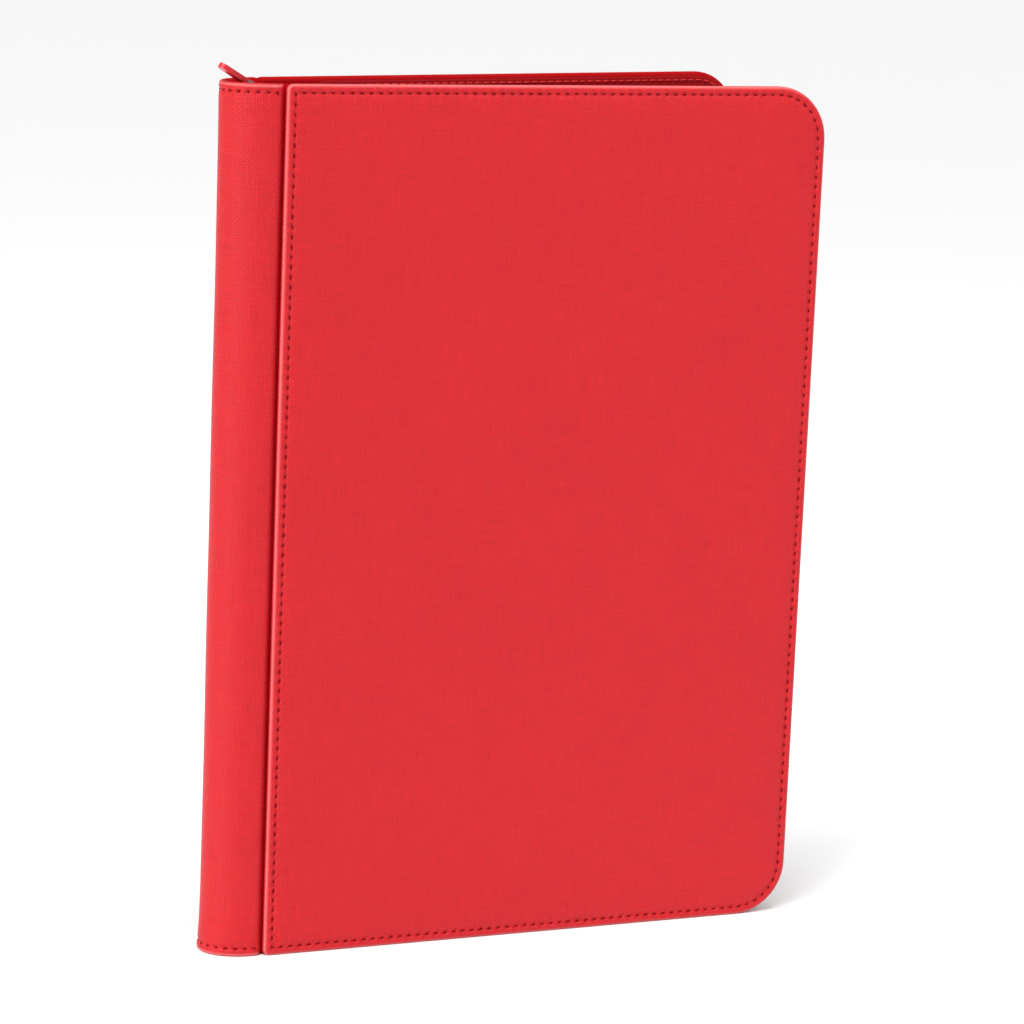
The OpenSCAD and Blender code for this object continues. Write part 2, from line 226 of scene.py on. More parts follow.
def woven(name, colour, yarn, relief, roughness, specular, sheen, contrast, seam_in=None, pitch=4.0):
    made, tree, shader = new_material(name, colour, roughness, specular)
    shader.inputs["Sheen Weight"].default_value = sheen
    shader.inputs["Sheen Roughness"].default_value = 0.4
    shader.inputs["Sheen Tint"].default_value = (1.0, 0.55, 0.55, 1)
    uv = tree.nodes.new("ShaderNodeUVMap")
    uv.uv_map = "Cloth"
    split = tree.nodes.new("ShaderNodeSeparateXYZ")
    tree.links.new(uv.outputs[0], split.inputs[0])
    across = calc(tree, "SINE", calc(tree, "MULTIPLY", split.outputs[0], math.pi / yarn))
    along = calc(tree, "SINE", calc(tree, "MULTIPLY", split.outputs[1], math.pi / yarn))
    warp, weft = calc(tree, "ABSOLUTE", across), calc(tree, "ABSOLUTE", along)
    parity = calc(tree, "MULTIPLY", across, along)
    over = calc(tree, "MULTIPLY_ADD", parity, 2.2, clamp=True)
    tree.nodes[-1].inputs[2].default_value = 0.5
    under = calc(tree, "SUBTRACT", 1.0, over)
    weave = calc(tree, "ADD", calc(tree, "MULTIPLY", warp, over), calc(tree, "MULTIPLY", weft, under))
    slub_v = noise_at(tree, uv.outputs[0], (1.0 / yarn, 0.07, 1), seed=3.0)
    slub_h = noise_at(tree, uv.outputs[0], (0.07, 1.0 / yarn, 1), seed=11.0)
    slubs = calc(tree, "ADD", calc(tree, "MULTIPLY", slub_v, over), calc(tree, "MULTIPLY", slub_h, under))
    cloud = noise_at(tree, uv.outputs[0], (0.02, 0.016, 1), seed=5.0)
    # Painted shade: the weave's hollows are painted darker and the yarns' crowns lighter. The slubs and the
    # broad cloud are the yarn's own tone.
    shade = calc(tree, "ADD", calc(tree, "MULTIPLY", calc(tree, "SUBTRACT", weave, 0.6), contrast),
                 calc(tree, "MULTIPLY", calc(tree, "SUBTRACT", slubs, 0.5), contrast * 4.2))
    shade = calc(tree, "ADD", shade, calc(tree, "MULTIPLY", calc(tree, "SUBTRACT", over, 0.5), contrast
                                          * 0.55))
    shade = calc(tree, "ADD", shade, calc(tree, "MULTIPLY", calc(tree, "SUBTRACT", cloud, 0.5), 0.10))
    shade = calc(tree, "ADD", shade, 1.0)
    rise = calc(tree, "ADD", weave, calc(tree, "MULTIPLY", slubs, 0.9))
    if seam_in is not None:
        seam = tree.nodes.new("ShaderNodeUVMap")
        seam.uv_map = "Seam"
        seam_split = tree.nodes.new("ShaderNodeSeparateXYZ")
        tree.links.new(seam.outputs[0], seam_split.inputs[0])
        off = calc(tree, "SUBTRACT", seam_split.outputs[1], seam_in)
        near = calc(tree, "EXPONENT", calc(tree, "MULTIPLY", calc(tree, "MULTIPLY", off, off), -0.75))
        wave = calc(tree, "COSINE", calc(tree, "MULTIPLY", seam_split.outputs[0], 2 * math.pi / pitch))
        pucker = calc(tree, "MULTIPLY", near, wave)
        add_bump(tree, shader, pucker, -0.00022)
        # Painted shade in each stitch dimple, and painted light on the cloth between the dimples.
        shade = calc(tree, "SUBTRACT", shade, calc(tree, "MULTIPLY", pucker, 0.12))
        # Along the fold of a rolled edge the cloth is painted lighter: a painted highlight where the edge
        # catches the light.
        fold = calc(tree, "SUBTRACT", seam_split.outputs[1], 0.7)
        painted_edge_highlight = calc(tree, "EXPONENT", calc(tree, "MULTIPLY", calc(tree, "MULTIPLY", fold, fold), -3.2))
        shade = calc(tree, "ADD", shade, calc(tree, "MULTIPLY", painted_edge_highlight, 0.24))
    add_bump(tree, shader, rise, relief * MM)
    tone = tree.nodes.new("ShaderNodeHueSaturation")
    tone.inputs["Color"].default_value = (*colour, 1)
    tree.links.new(shade, tone.inputs["Value"])
    if seam_in is not None:
        # The same painted highlight also makes the fold paler.
        tree.links.new(calc(tree, "SUBTRACT", 1.0, calc(tree, "MULTIPLY", painted_edge_highlight, 0.18)),
                       tone.inputs["Saturation"])
    tree.links.new(tone.outputs[0], shader.inputs["Base Color"])
    return made


STITCH_IN, PITCH = 3.4, 4.0
cover_cloth = woven("cover_cloth", (0.465, 0.006, 0.011), 1.0, 0.15, 0.42, 0.25, 0.01, 0.12, STITCH_IN,
                    PITCH)
# The cloth in the groove between the spine and a cover is painted darker and redder than the cover cloth:
# painted shade with painted red bounce light.
groove_shade_cloth = woven("groove_shade_cloth", (0.31, 0.0008, 0.003), 1.0, 0.08, 0.8, 0.04, 0.0, 0.06)
lining_cloth = woven("lining_cloth", (0.31, 0.0018, 0.0035), 0.45, 0.03, 0.8, 0.06, 0.0, 0.12)
tape_cloth = woven("zip_tape", (0.25, 0.002, 0.004), 0.55, 0.06, 0.7, 0.1, 0.0, 0.12)

thread_dark, tree, shader = new_material("outer_thread", (0.16, 0.0006, 0.003), 0.8, 0.08)
coords = tree.nodes.new("ShaderNodeTexCoord")
fray = noise_at(tree, coords.outputs["Object"], (9000, 9000, 9000), 3.0)
add_bump(tree, shader, fray, 0.00005)
thread_light, tree, shader = new_material("inner_thread", (0.44, 0.012, 0.012), 0.6, 0.2)
coords = tree.nodes.new("ShaderNodeTexCoord")
fray = noise_at(tree, coords.outputs["Object"], (9000, 9000, 9000), 3.0)
add_bump(tree, shader, fray, 0.00005)

# ---- Bound panels --------------------------------------------------------------------------
# A panel of cloth turned over a board: rings of points follow its outline from the hem on the
# inside, round the rolled edge, over the sunk stitch row and up the padded field.


def outline(inset, wide, high, seam_r, fore_r, n_wide, n_high, n_seam=4, n_fore=12):
    a, b = max(inset, seam_r), max(inset, fore_r)
    ra, rb = max(seam_r - inset, 0.0), max(fore_r - inset, 0.0)
    ring = [(a + (wide - b - a) * k / n_wide, inset) for k in range(n_wide + 1)]
    ring += [(wide - b + rb * math.sin(q), b - rb * math.cos(q))
             for q in [math.pi / 2 * k / n_fore for k in range(1, n_fore)]]
    ring += [(wide - inset, b + (high - 2 * b) * k / n_high) for k in range(n_high + 1)]
    ring += [(wide - b + rb * math.cos(q), high - b + rb * math.sin(q))
             for q in [math.pi / 2 * k / n_fore for k in range(1, n_fore)]]
    ring += [(wide - b + (a - wide + b) * k / n_wide, high - inset) for k in range(n_wide + 1)]
    ring += [(a - ra * math.sin(q), high - a + ra * math.cos(q))
             for q in [math.pi / 2 * k / n_seam for k in range(1, n_seam)]]
    ring += [(inset, high - a + (2 * a - high) * k / n_high) for k in range(n_high + 1)]
    ring += [(a - ra * math.cos(q), a - ra * math.sin(q))
             for q in [math.pi / 2 * k / n_seam for k in range(1, n_seam)]]
    return ring


def lengths(ring):
    total, out = 0.0, [0.0]
    for p, q in zip(ring, ring[1:] + ring[:1]):
        total += math.hypot(q[0] - p[0], q[1] - p[1])
        out.append(total)
    return out


def bound_panel(name, size, radii, counts, profile, field, place, seam_sides=True, back_field=None,
                lined_from=99):
    """profile: (inset, depth, cloth inset) of each ring, from the inner hem to the edge of the field."""
    wide, high = size
    n_wide, n_high = counts
    form = bmesh.new()
    cloth = form.loops.layers.uv.new("Cloth")
    seam = form.loops.layers.uv.new("Seam")
    measure = lengths(outline(STITCH_IN, wide, high, *radii, n_wide, n_high))
    scale = round(measure[-1] / PITCH) * PITCH / measure[-1]
    measure = [m * scale for m in measure]
    count = len(measure) - 1
    rows = []
    for inset, depth, laid in profile:
        flat = outline(inset, wide, high, *radii, n_wide, n_high)
        laid_flat = outline(laid, wide, high, *radii, n_wide, n_high)
        rows.append(([form.verts.new(place(u, depth, z)) for u, z in flat], laid_flat, laid, depth))
    on_side = [k <= n_wide or (n_wide + 12 + n_high + 12) <= k <= (2 * n_wide + 12 + n_high + 12)
               for k in range(count + 1)]
    for (lower, flat_a, in_a, _), (upper, flat_b, in_b, depth_b) in zip(rows, rows[1:]):
        for k in range(count):
            m = (k + 1) % count
            face = form.faces.new((lower[k], lower[m], upper[m], upper[k]))
            face.smooth = True
            face.material_index = 1 if depth_b > lined_from else 0
            for loop, spot, s, d in zip(face.loops, (flat_a[k], flat_a[m], flat_b[m], flat_b[k]),
                                        (measure[k], measure[k + 1], measure[k + 1], measure[k]),
                                        (in_a, in_a, in_b, in_b)):
                loop[cloth].uv = spot
                loop[seam].uv = (s, d if seam_sides or (on_side[k] and on_side[k + 1]) else 99.0)
    for rim, face_field, flip in ((profile[-1][0], field, False),) + (((profile[0][0], back_field, True),)
            if back_field else ()):
        a = max(rim, radii[0])
        b = max(rim, radii[1])
        grid = []
        for j in range(n_high + 1):
            line = []
            for i in range(n_wide + 1):
                u = a + (wide - b - a) * i / n_wide
                z = a + (high - 2 * a) * j / n_high if a == b else b + (high - 2 * b) * j / n_high
                line.append((form.verts.new(place(u, face_field(u, z, i / n_wide, j / n_high), z)), (u, z)))
            grid.append(line)
        for j in range(n_high):
            for i in range(n_wide):
                corners = [grid[j][i], grid[j][i + 1], grid[j + 1][i + 1], grid[j + 1][i]]
                if flip:
                    corners.reverse()
                face = form.faces.new([c[0] for c in corners])
                face.smooth = True
                face.material_index = 1 if flip else 0
                for loop, corner in zip(face.loops, corners):
                    loop[cloth].uv = corner[1]
                    loop[seam].uv = (0.0, 99.0)
    bmesh.ops.remove_doubles(form, verts=form.verts, dist=0.00002)
    bmesh.ops.recalc_face_normals(form, faces=form.faces)
    mesh = bpy.data.meshes.new(name)
    form.to_mesh(mesh)
    form.free()
    piece = bpy.data.objects.new(name, mesh)
    scene.collection.objects.link(piece)
    return piece


# ---- Covers --------------------------------------------------------------------------------
# Each cover is a padded panel: the cloth rolls over the edge, is sunk along the stitch row all
# round, and rises to a slightly crowned field. The hem ends under the lining.
cover_profile = [
    (3.6, 4.00, -5.4), (3.0, 4.30, -4.8), (2.2, 4.42, -4.0), (1.5, 4.38, -3.3), (0.8, 4.16, -2.6),
    (0.28, 3.66, -1.9), (0.04, 2.95, -1.2), (0.0, 2.2, -0.5), (0.03, 1.5, 0.1), (0.26, 0.80, 0.7),
    (0.75, 0.28, 1.2), (1.4, 0.02, 1.7), (2.1, -0.06, 2.3), (2.65, 0.05, 2.75), (3.05, 0.30, 3.15),
    (3.4, 0.46, 3.45), (3.75, 0.34, 3.75), (4.2, 0.10, 4.2), (5.0, -0.12, 5.0), (6.3, -0.30, 6.3),
    (8.6, -0.48, 8.6), (12.0, -0.64, 12.0), (16.6, -0.76, 16.6), (CORNER, -0.85, CORNER),
]


def cover_field(seed):
    spread = random.Random(seed)
    waves = [(spread.uniform(0.6, 2.6), spread.uniform(0.6, 3.2), spread.uniform(0, 6.28),
              spread.uniform(0.02, 0.06)) for _ in range(7)]

    def depth(u, z, i, j):
        rise = (math.sin(math.pi * i) * math.sin(math.pi * j)) ** 0.5 if 0 < i < 1 and 0 < j < 1 else 0.0
        ripple = sum(a * math.sin(p * 6.28 * i + q * 6.28 * j + r) for p, q, r, a in waves)
        return -0.85 - (0.45 + ripple) * rise

    return depth


cover_pieces = {}
for side in ("front", "back"):
    cover = bound_panel(
        f"{side}_cover_cloth", (width, height), (2.4, CORNER), (56, 84), cover_profile,
        cover_field(7 if side == "front" else 19), lambda u, w, z, side=side: on_cover(side, u, w, z),
        # The dark lining cloth begins further round the back cover's rolled edge than the front's, so the
        # back rim is darker: painted shade.
        lined_from=2.0 if side == "front" else 1.0,
    )
    cover.data.materials.append(cover_cloth)
    cover.data.materials.append(lining_cloth)
    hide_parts(f"{side}_skin")
    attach(cover, f"{side}_cover")
    cover_pieces[side] = cover

# ---- Linings -------------------------------------------------------------------------------
# A close-woven sheet glued inside each cover, on the greyboard and over the hem of the outer
# cloth. Its cut edge is turned under.
lining_profile = [(2.5, 4.25, 1.9), (2.55, 4.42, 2.1), (2.8, 4.50, 2.6), (4.0, 4.50, 4.0), (9.0, 4.50, 9.0),
                  (CORNER, 4.48, CORNER)]


def lining_field(u, z, i, j):
    return 4.48 + 0.05 * math.sin(7 * i) * math.sin(9 * j)


for side in ("front", "back"):
    sheet = bound_panel(
        f"{side}_lining_cloth", (width, height), (2.8, CORNER), (40, 60), lining_profile,
        lining_field, lambda u, w, z, side=side: on_cover(side, u, w, z),
    )
    sheet.data.materials.append(lining_cloth)
    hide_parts(f"{side}_lining")
    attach(sheet, f"{side}_cover")

# ---- Spine ---------------------------------------------------------------------------------
# A curved strip between the covers: half an ellipse in plan, turned over at its top and bottom,
# where it is stitched across. It flares a little at the foot, where it has stood.
spine_deep = 20.5
spine_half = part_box("spine_skin")[1].y / MM
arc = []
for k in range(721):
    t = math.radians(-90 + 0.25 * k)
    arc.append((t, -spine_deep * math.cos(t), spine_half * math.sin(t)))
arc_at = [0.0]
for p, q in zip(arc, arc[1:]):
    arc_at.append(arc_at[-1] + math.hypot(q[1] - p[1], q[2] - p[2]))
spine_wide = arc_at[-1]


def on_spine(a, w, z):
    a = min(max(a, 0.0), spine_wide)
    k = min(int(a / spine_wide * 720), 719)
    while arc_at[k] > a and k > 0:
        k -= 1
    while arc_at[k + 1] < a and k < 719:
        k += 1
    f = (a - arc_at[k]) / (arc_at[k + 1] - arc_at[k])
    t = arc[k][0] * (1 - f) + arc[k + 1][0] * f
    x, y = -spine_deep * math.cos(t), spine_half * math.sin(t)
    nx, ny = math.cos(t) / spine_deep, -math.sin(t) / spine_half
    n = math.hypot(nx, ny)
    if 1.9 < min(a, spine_wide - a) < 11 and 6 < z < height - 6 and w < 0.6:
        w = -0.06
    flare = (1.2 * math.exp(-z / 9) + 0.5 * math.exp(-(height - z) / 30)) * math.cos(t)
    groove = 1.5 * (math.exp(-(a / 1.7) ** 2) + math.exp(-((spine_wide - a) / 1.7) ** 2))
    w += groove * max(0.0, 1.0 - w / 2.6) - flare
    return Vector((seam_x - 0.3 + x + w * nx / n, y + w * ny / n, z)) * MM


spine_profile = [
    (9.0, 2.62, -12), (2.4, 2.64, -5.0), (1.4, 2.58, -4.0), (0.6, 2.3, -3.0), (0.14, 1.8, -2.1),
    (0.0, 1.3, -1.3),
    (0.12, 0.75, -0.6), (0.55, 0.25, 0.3), (1.2, 0.02, 1.1), (2.0, -0.06, 2.0), (2.65, 0.06, 2.7),
    (3.05, 0.28, 3.1),
    (3.4, 0.42, 3.45), (3.75, 0.32, 3.75), (4.3, 0.10, 4.3), (5.2, -0.04, 5.2), (7.0, -0.08, 7.0),
    (10.0, -0.08, 10.0),
]


def spine_field(u, z, i, j):
    return -0.08 + (0.10 * math.sin(5.3 * j + 2) * math.sin(math.pi * i) + 0.05
                    * math.sin(23 * j + 4 * i)) * min(1.0, 12 * j, 12 * (1 - j))


spine = bound_panel(
    "spine_cloth", (spine_wide, height), (1.2, 1.2), (64, 110), spine_profile, spine_field, on_spine,
    seam_sides=False, back_field=lambda u, z, i, j: 2.62, lined_from=1.2,
)
spine.data.materials.append(cover_cloth)
spine.data.materials.append(lining_cloth)
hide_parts("spine_skin", "spine_core", "spine_lining")
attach(spine, "spine")

# ---- Hinge cloth ---------------------------------------------------------------------------
# Two strips on each side carry a cover on the spine: one in the groove outside, one inside over
# the edge of the lining.


def ribbon(name, path, thick, z0, z1, steps, cloth):
    form = bmesh.new()
    uv = form.loops.layers.uv.new("Cloth")
    form.loops.layers.uv.new("Seam")
    run = [0.0]
    for p, q in zip(path, path[1:]):
        run.append(run[-1] + math.hypot(q[0] - p[0], q[1] - p[1]))
    normals = []
    for k in range(len(path)):
        p, q = path[max(k - 1, 0)], path[min(k + 1, len(path) - 1)]
        d = math.hypot(q[0] - p[0], q[1] - p[1])
        normals.append((-(q[1] - p[1]) / d, (q[0] - p[0]) / d))
    levels = [z0 + (z1 - z0) * k / steps for k in range(steps + 1)]
    sides = []
    for offset in (thick / 2, -thick / 2):
        sides.append([[form.verts.new(Vector((p[0] + n[0] * offset, p[1] + n[1] * offset, z)) * MM) for p,
                       n in zip(path, normals)] for z in levels])
    for grid in sides:
        for j in range(steps):
            for i in range(len(path) - 1):
                face = form.faces.new((grid[j][i], grid[j][i + 1], grid[j + 1][i + 1], grid[j + 1][i]))
                face.smooth = True
                for loop, spot in zip(face.loops, ((run[i], levels[j]), (run[i + 1], levels[j]),
                                                   (run[i + 1], levels[j + 1]), (run[i], levels[j + 1]))):
                    loop[uv].uv = spot
    top, low = sides
    for j in range(steps):
        for i in (0, len(path) - 1):
            form.faces.new((top[j][i], low[j][i], low[j + 1][i], top[j + 1][i]))
    for j in (0, steps):
        for i in range(len(path) - 1):
            form.faces.new((top[j][i], low[j][i], low[j][i + 1], top[j][i + 1]))
    bmesh.ops.recalc_face_normals(form, faces=form.faces)
    mesh = bpy.data.meshes.new(name)
    form.to_mesh(mesh)
    form.free()
    piece = bpy.data.objects.new(name, mesh)
    scene.collection.objects.link(piece)
    mesh.materials.append(cloth)
    return piece


for side, sign in (("front", 1), ("back", -1)):
    def at(u, w):
        spot = on_cover(side, u, w, 0) / MM
        return (spot.x, spot.y)

    outer = [(15.5, sign * -12.75), (17.2, sign * -12.85), (18.6, sign * -12.95), (19.5, sign * -13.3),
             (20.2, sign * -14.0), (20.6, sign * -14.8)]
    # The outer strip in the groove takes the cloth with painted shade.
    strip = ribbon(f"{side}_hinge_outer", outer, 0.6, 0.25, height - 0.25, 40, groove_shade_cloth)
    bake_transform(strip)
    inner = [(10.5, sign * -11.1), (13.5, sign * -11.95), (16.2, sign * -12.45), (18.9, sign * -12.60),
             at(2.0, 4.62), at(4.2, 4.66), at(7.5, 4.66), at(10.5, 4.64), at(11.2, 4.5)]
    strip = ribbon(f"{side}_hinge_inner", inner, 0.45, 2.6, height - 2.6, 40, lining_cloth)
    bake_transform(strip)

# ---- Stitches ------------------------------------------------------------------------------
# Rows of sewn thread. One node tree sets a short length of two-ply thread, or any other small
# piece, at each point of a row, turned along it and away from the cloth.
row_tree = bpy.data.node_groups.new("row_of_pieces", "GeometryNodeTree")
sockets = {}
for label, kind in (("Row", "NodeSocketGeometry"), ("Piece", "NodeSocketObject"),
                    ("Length", "NodeSocketFloat"), ("Breadth", "NodeSocketFloat"),
                    ("Rise", "NodeSocketFloat"), ("Unevenness", "NodeSocketFloat"),
                    ("Seed", "NodeSocketInt"), ("Finish", "NodeSocketMaterial")):
    sockets[label] = row_tree.interface.new_socket(name=label, in_out="INPUT", socket_type=kind)
row_tree.interface.new_socket(name="Pieces", in_out="OUTPUT", socket_type="NodeSocketGeometry")
nodes, links = row_tree.nodes, row_tree.links
entry, leave = nodes.new("NodeGroupInput"), nodes.new("NodeGroupOutput")
source = nodes.new("GeometryNodeObjectInfo")
links.new(entry.outputs["Piece"], source.inputs["Object"])
turned = None
for attribute, axis, pivot in (("along", "X", "AUTO"), ("away", "Z", "X")):
    named = nodes.new("GeometryNodeInputNamedAttribute")
    named.data_type = "FLOAT_VECTOR"
    named.inputs["Name"].default_value = attribute
    align = nodes.new("FunctionNodeAlignRotationToVector")
    align.axis, align.pivot_axis = axis, pivot
    links.new(named.outputs["Attribute"], align.inputs["Vector"])
    if turned is not None:
        links.new(turned, align.inputs["Rotation"])
    turned = align.outputs["Rotation"]
size = nodes.new("ShaderNodeCombineXYZ")
for label, axis in (("Length", "X"), ("Breadth", "Y"), ("Rise", "Z")):
    links.new(entry.outputs[label], size.inputs[axis])
uneven = nodes.new("FunctionNodeRandomValue")
uneven.data_type = "FLOAT"
least, most = nodes.new("ShaderNodeMath"), nodes.new("ShaderNodeMath")
least.operation, most.operation = "SUBTRACT", "ADD"
least.inputs[0].default_value = most.inputs[0].default_value = 1.0
for bound in (least, most):
    links.new(entry.outputs["Unevenness"], bound.inputs[1])
random_in = [s for s in uneven.inputs if s.enabled]
links.new(least.outputs[0], random_in[0])
links.new(most.outputs[0], random_in[1])
links.new(entry.outputs["Seed"], uneven.inputs["Seed"])
grown = nodes.new("ShaderNodeVectorMath")
grown.operation = "SCALE"
links.new(size.outputs[0], grown.inputs[0])
links.new([s for s in uneven.outputs if s.enabled][0], grown.inputs["Scale"])
placed = nodes.new("GeometryNodeInstanceOnPoints")
links.new(entry.outputs["Row"], placed.inputs["Points"])
links.new(source.outputs["Geometry"], placed.inputs["Instance"])
links.new(turned, placed.inputs["Rotation"])
links.new(grown.outputs[0], placed.inputs["Scale"])
real = nodes.new("GeometryNodeRealizeInstances")
finish = nodes.new("GeometryNodeSetMaterial")
links.new(placed.outputs[0], real.inputs[0])
links.new(real.outputs[0], finish.inputs["Geometry"])
links.new(entry.outputs["Finish"], finish.inputs["Material"])
links.new(finish.outputs[0], leave.inputs[0])


def row(name, spots, template, finish_material, scale=(1, 1, 1), unevenness=0.06, seed=1):
    """spots: (place, along, away) in metres. Gives one plain mesh of all the pieces."""
    mesh = bpy.data.meshes.new(name + "_row")
    mesh.from_pydata([spot[0] for spot in spots], [], [])
    for column, attribute in ((1, "along"), (2, "away")):
        values = mesh.attributes.new(attribute, "FLOAT_VECTOR", "POINT")
        values.data.foreach_set("vector", [c for spot in spots for c in spot[column]])
    holder = bpy.data.objects.new(name + "_row", mesh)
    scene.collection.objects.link(holder)
    modifier = holder.modifiers.new("row", "NODES")
    modifier.node_group = row_tree
    for label, value in (("Piece", template), ("Length", float(scale[0])), ("Breadth", float(scale[1])),
                         ("Rise", float(scale[2])),
                         ("Unevenness", unevenness), ("Seed", seed), ("Finish", finish_material)):
        modifier[sockets[label].identifier] = value
    graph = bpy.context.evaluated_depsgraph_get()
    made = bpy.data.meshes.new_from_object(holder.evaluated_get(graph), depsgraph=graph)
    made.name = name
    bpy.data.objects.remove(holder)
    piece = bpy.data.objects.new(name, made)
    scene.collection.objects.link(piece)
    return piece


def tube(path, radius, sides, ply=0.0, twist=0.0, caps=True):
    """A small tube along a path in millimetres, made into a template for a row."""
    form = bmesh.new()
    rings_made = []
    for k, p in enumerate(path):
        before, after = Vector(path[max(k - 1, 0)]), Vector(path[min(k + 1, len(path) - 1)])
        ahead = (after - before).normalized()
        side_way = ahead.cross(Vector((0, 1, 0)))
        if side_way.length < 0.2:
            side_way = Vector((0, 0, 1))
        side_way.normalize()
        other = ahead.cross(side_way)
        r = radius[k] if isinstance(radius, (list, tuple)) else radius
        ring = []
        for m in range(sides):
            angle = 2 * math.pi * m / sides
            rr = r * (1 + ply * math.cos(2 * angle - twist * k))
            ring.append(form.verts.new((Vector(p) + side_way * math.cos(angle) * rr + other
                                        * math.sin(angle) * rr) * MM))
        rings_made.append(ring)
    for lower, upper in zip(rings_made, rings_made[1:]):
        for m in range(sides):
            form.faces.new((lower[m], lower[(m + 1) % sides], upper[(m + 1) % sides],
                            upper[m])).smooth = True
    if caps:
        form.faces.new(rings_made[0])
        form.faces.new(rings_made[-1])
    bmesh.ops.recalc_face_normals(form, faces=form.faces)
    mesh = bpy.data.meshes.new("template")
    form.to_mesh(mesh)
    form.free()
    return bpy.data.objects.new("template", mesh)


sunk_thread = tube([(-0.95, 0, -0.45), (-0.8, 0, -0.10), (-0.45, 0, 0.04), (0, 0, 0.08), (0.45, 0, 0.04),
                    (0.8, 0, -0.10), (0.95, 0, -0.45)],
                   [0.22, 0.30, 0.34, 0.34, 0.34, 0.30, 0.22], 8, 0.14, 0.9)
raised_thread = tube([(-1.45, 0, -0.35), (-1.25, 0, 0.0), (-0.8, 0, 0.16), (0, 0, 0.20), (0.8, 0, 0.16),
                      (1.25, 0, 0.0), (1.45, 0, -0.35)],
                     [0.24, 0.32, 0.36, 0.36, 0.36, 0.32, 0.24], 8, 0.14, 0.9)


def spots_on(size, radii, counts, inset, depth, place, keep=lambda u, z: True, phase=0.0):
    """A stitch every pitch along a panel's row, with its direction and the way out of the cloth."""
    ring = outline(inset, *size, *radii, *counts)
    run = lengths(ring)
    total = round(run[-1] / PITCH)
    step = run[-1] / total
    ring = ring + ring[:1]
    out, k = [], 0
    for m in range(total):
        s = (m + phase) * step
        while run[k + 1] < s:
            k += 1
        f = (s - run[k]) / max(run[k + 1] - run[k], 1e-9)
        u, z = (ring[k][i] * (1 - f) + ring[k + 1][i] * f for i in (0, 1))
        du, dz = ring[k + 1][0] - ring[k][0], ring[k + 1][1] - ring[k][1]
        d = math.hypot(du, dz)
        if d < 1e-6 or not keep(u, z):
            continue
        du, dz = du / d, dz / d
        here = place(u, depth, z)
        ahead = (place(u + du * 0.2, depth, z + dz * 0.2) - place(u - du * 0.2, depth,
                z - dz * 0.2)).normalized()
        away = (place(u, depth - 0.5, z) - place(u, depth + 0.5, z)).normalized()
        out.append((here, ahead, away))
    return out


for side in ("front", "back"):
    place = lambda u, w, z, side=side: on_cover(side, u, w, z)
    outer = row(f"{side}_cover_stitches", spots_on((width, height), (2.4, CORNER), (56, 84), STITCH_IN,
                                                   0.46, place, phase=0.0), sunk_thread, thread_dark,
                                                   (0.74, 1.0, 1.0), unevenness=0.12, seed=3)
    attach(outer, f"{side}_cover")
    inner_row = [(a, b, -c) for a, b, c in spots_on((width, height), (2.4, CORNER), (56, 84), STITCH_IN,
                                                    5.02, place, lambda u, z: u > 28.5)]
    inner_row += [(a, b, -c) for a, b, c in spots_on((width, height), (2.4, CORNER), (56, 84), STITCH_IN,
                                                     4.52, place, lambda u, z: 6 < u <= 28.5
                                                     and not 8 < z < height - 8)]
    inner = row(f"{side}_inner_stitches", inner_row, raised_thread, thread_light, unevenness=0.08, seed=5)
    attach(inner, f"{side}_cover")
spine_stitches = row("spine_stitches", spots_on((spine_wide, height), (1.2, 1.2), (64, 110), STITCH_IN,
                                                0.40, on_spine,
                                                lambda u, z: not 3.7 < z < height - 3.7), sunk_thread,
                                                thread_dark, (0.74, 1.0, 1.0), unevenness=0.12, seed=9)
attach(spine_stitches, "spine")

# ---- Zip tapes -----------------------------------------------------------------------------
# Woven tape sewn flat to each lining, then standing up towards the middle. It runs round three
# sides, and the back tape goes on past the seam to where the slider is parked.
SEWN = 28.0
WALL = 6.8
COIL1 = 16.1


def zip_path(inset, straight=46, bend=16, start=SEWN):
    path = [(start + (width - CORNER - start) * k / straight, inset, 0.0, -1.0) for k in range(straight)]
    r = CORNER - inset
    path += [(width - CORNER + r * math.sin(q), CORNER - r * math.cos(q), math.sin(q), -math.cos(q))
             for q in [math.pi / 2 * k / bend for k in range(bend)]]
    path += [(width - inset, CORNER + (height - 2 * CORNER) * k / 70, 1.0, 0.0) for k in range(70)]
    path += [(width - CORNER + r * math.cos(q), height - CORNER + r * math.sin(q), math.cos(q),
              math.sin(q)) for q in [math.pi / 2 * k / bend for k in range(bend)]]
    path += [(width - CORNER - (width - CORNER - start) * k / straight, height - inset, 0.0, 1.0)
             for k in range(straight + 1)]
    return path


def swept(name, sections, closed, cloth, runs):
    """sections: lists of points of equal length; runs: the distance of each section along the piece."""
    form = bmesh.new()
    uv = form.loops.layers.uv.new("Cloth")
    form.loops.layers.uv.new("Seam")
    girth = [0.0]
    first = sections[0]
    for p, q in zip(first, first[1:] + first[:1]):
        girth.append(girth[-1] + (q - p).length / MM)
    made = [[form.verts.new(p) for p in section] for section in sections]
    n = len(first)
    for j in range(len(made) - 1):
        for i in range(n if closed else n - 1):
            m = (i + 1) % n
            face = form.faces.new((made[j][i], made[j][m], made[j + 1][m], made[j + 1][i]))
            face.smooth = True
            for loop, spot in zip(face.loops, ((girth[i], runs[j]), (girth[i + 1], runs[j]),
                                               (girth[i + 1], runs[j + 1]), (girth[i], runs[j + 1]))):
                loop[uv].uv = spot
    if closed:
        form.faces.new(made[0])
        form.faces.new(made[-1])
    bmesh.ops.recalc_face_normals(form, faces=form.faces)
    mesh = bpy.data.meshes.new(name)
    form.to_mesh(mesh)
    form.free()
    piece = bpy.data.objects.new(name, mesh)
    scene.collection.objects.link(piece)
    mesh.materials.append(cloth)
    return piece


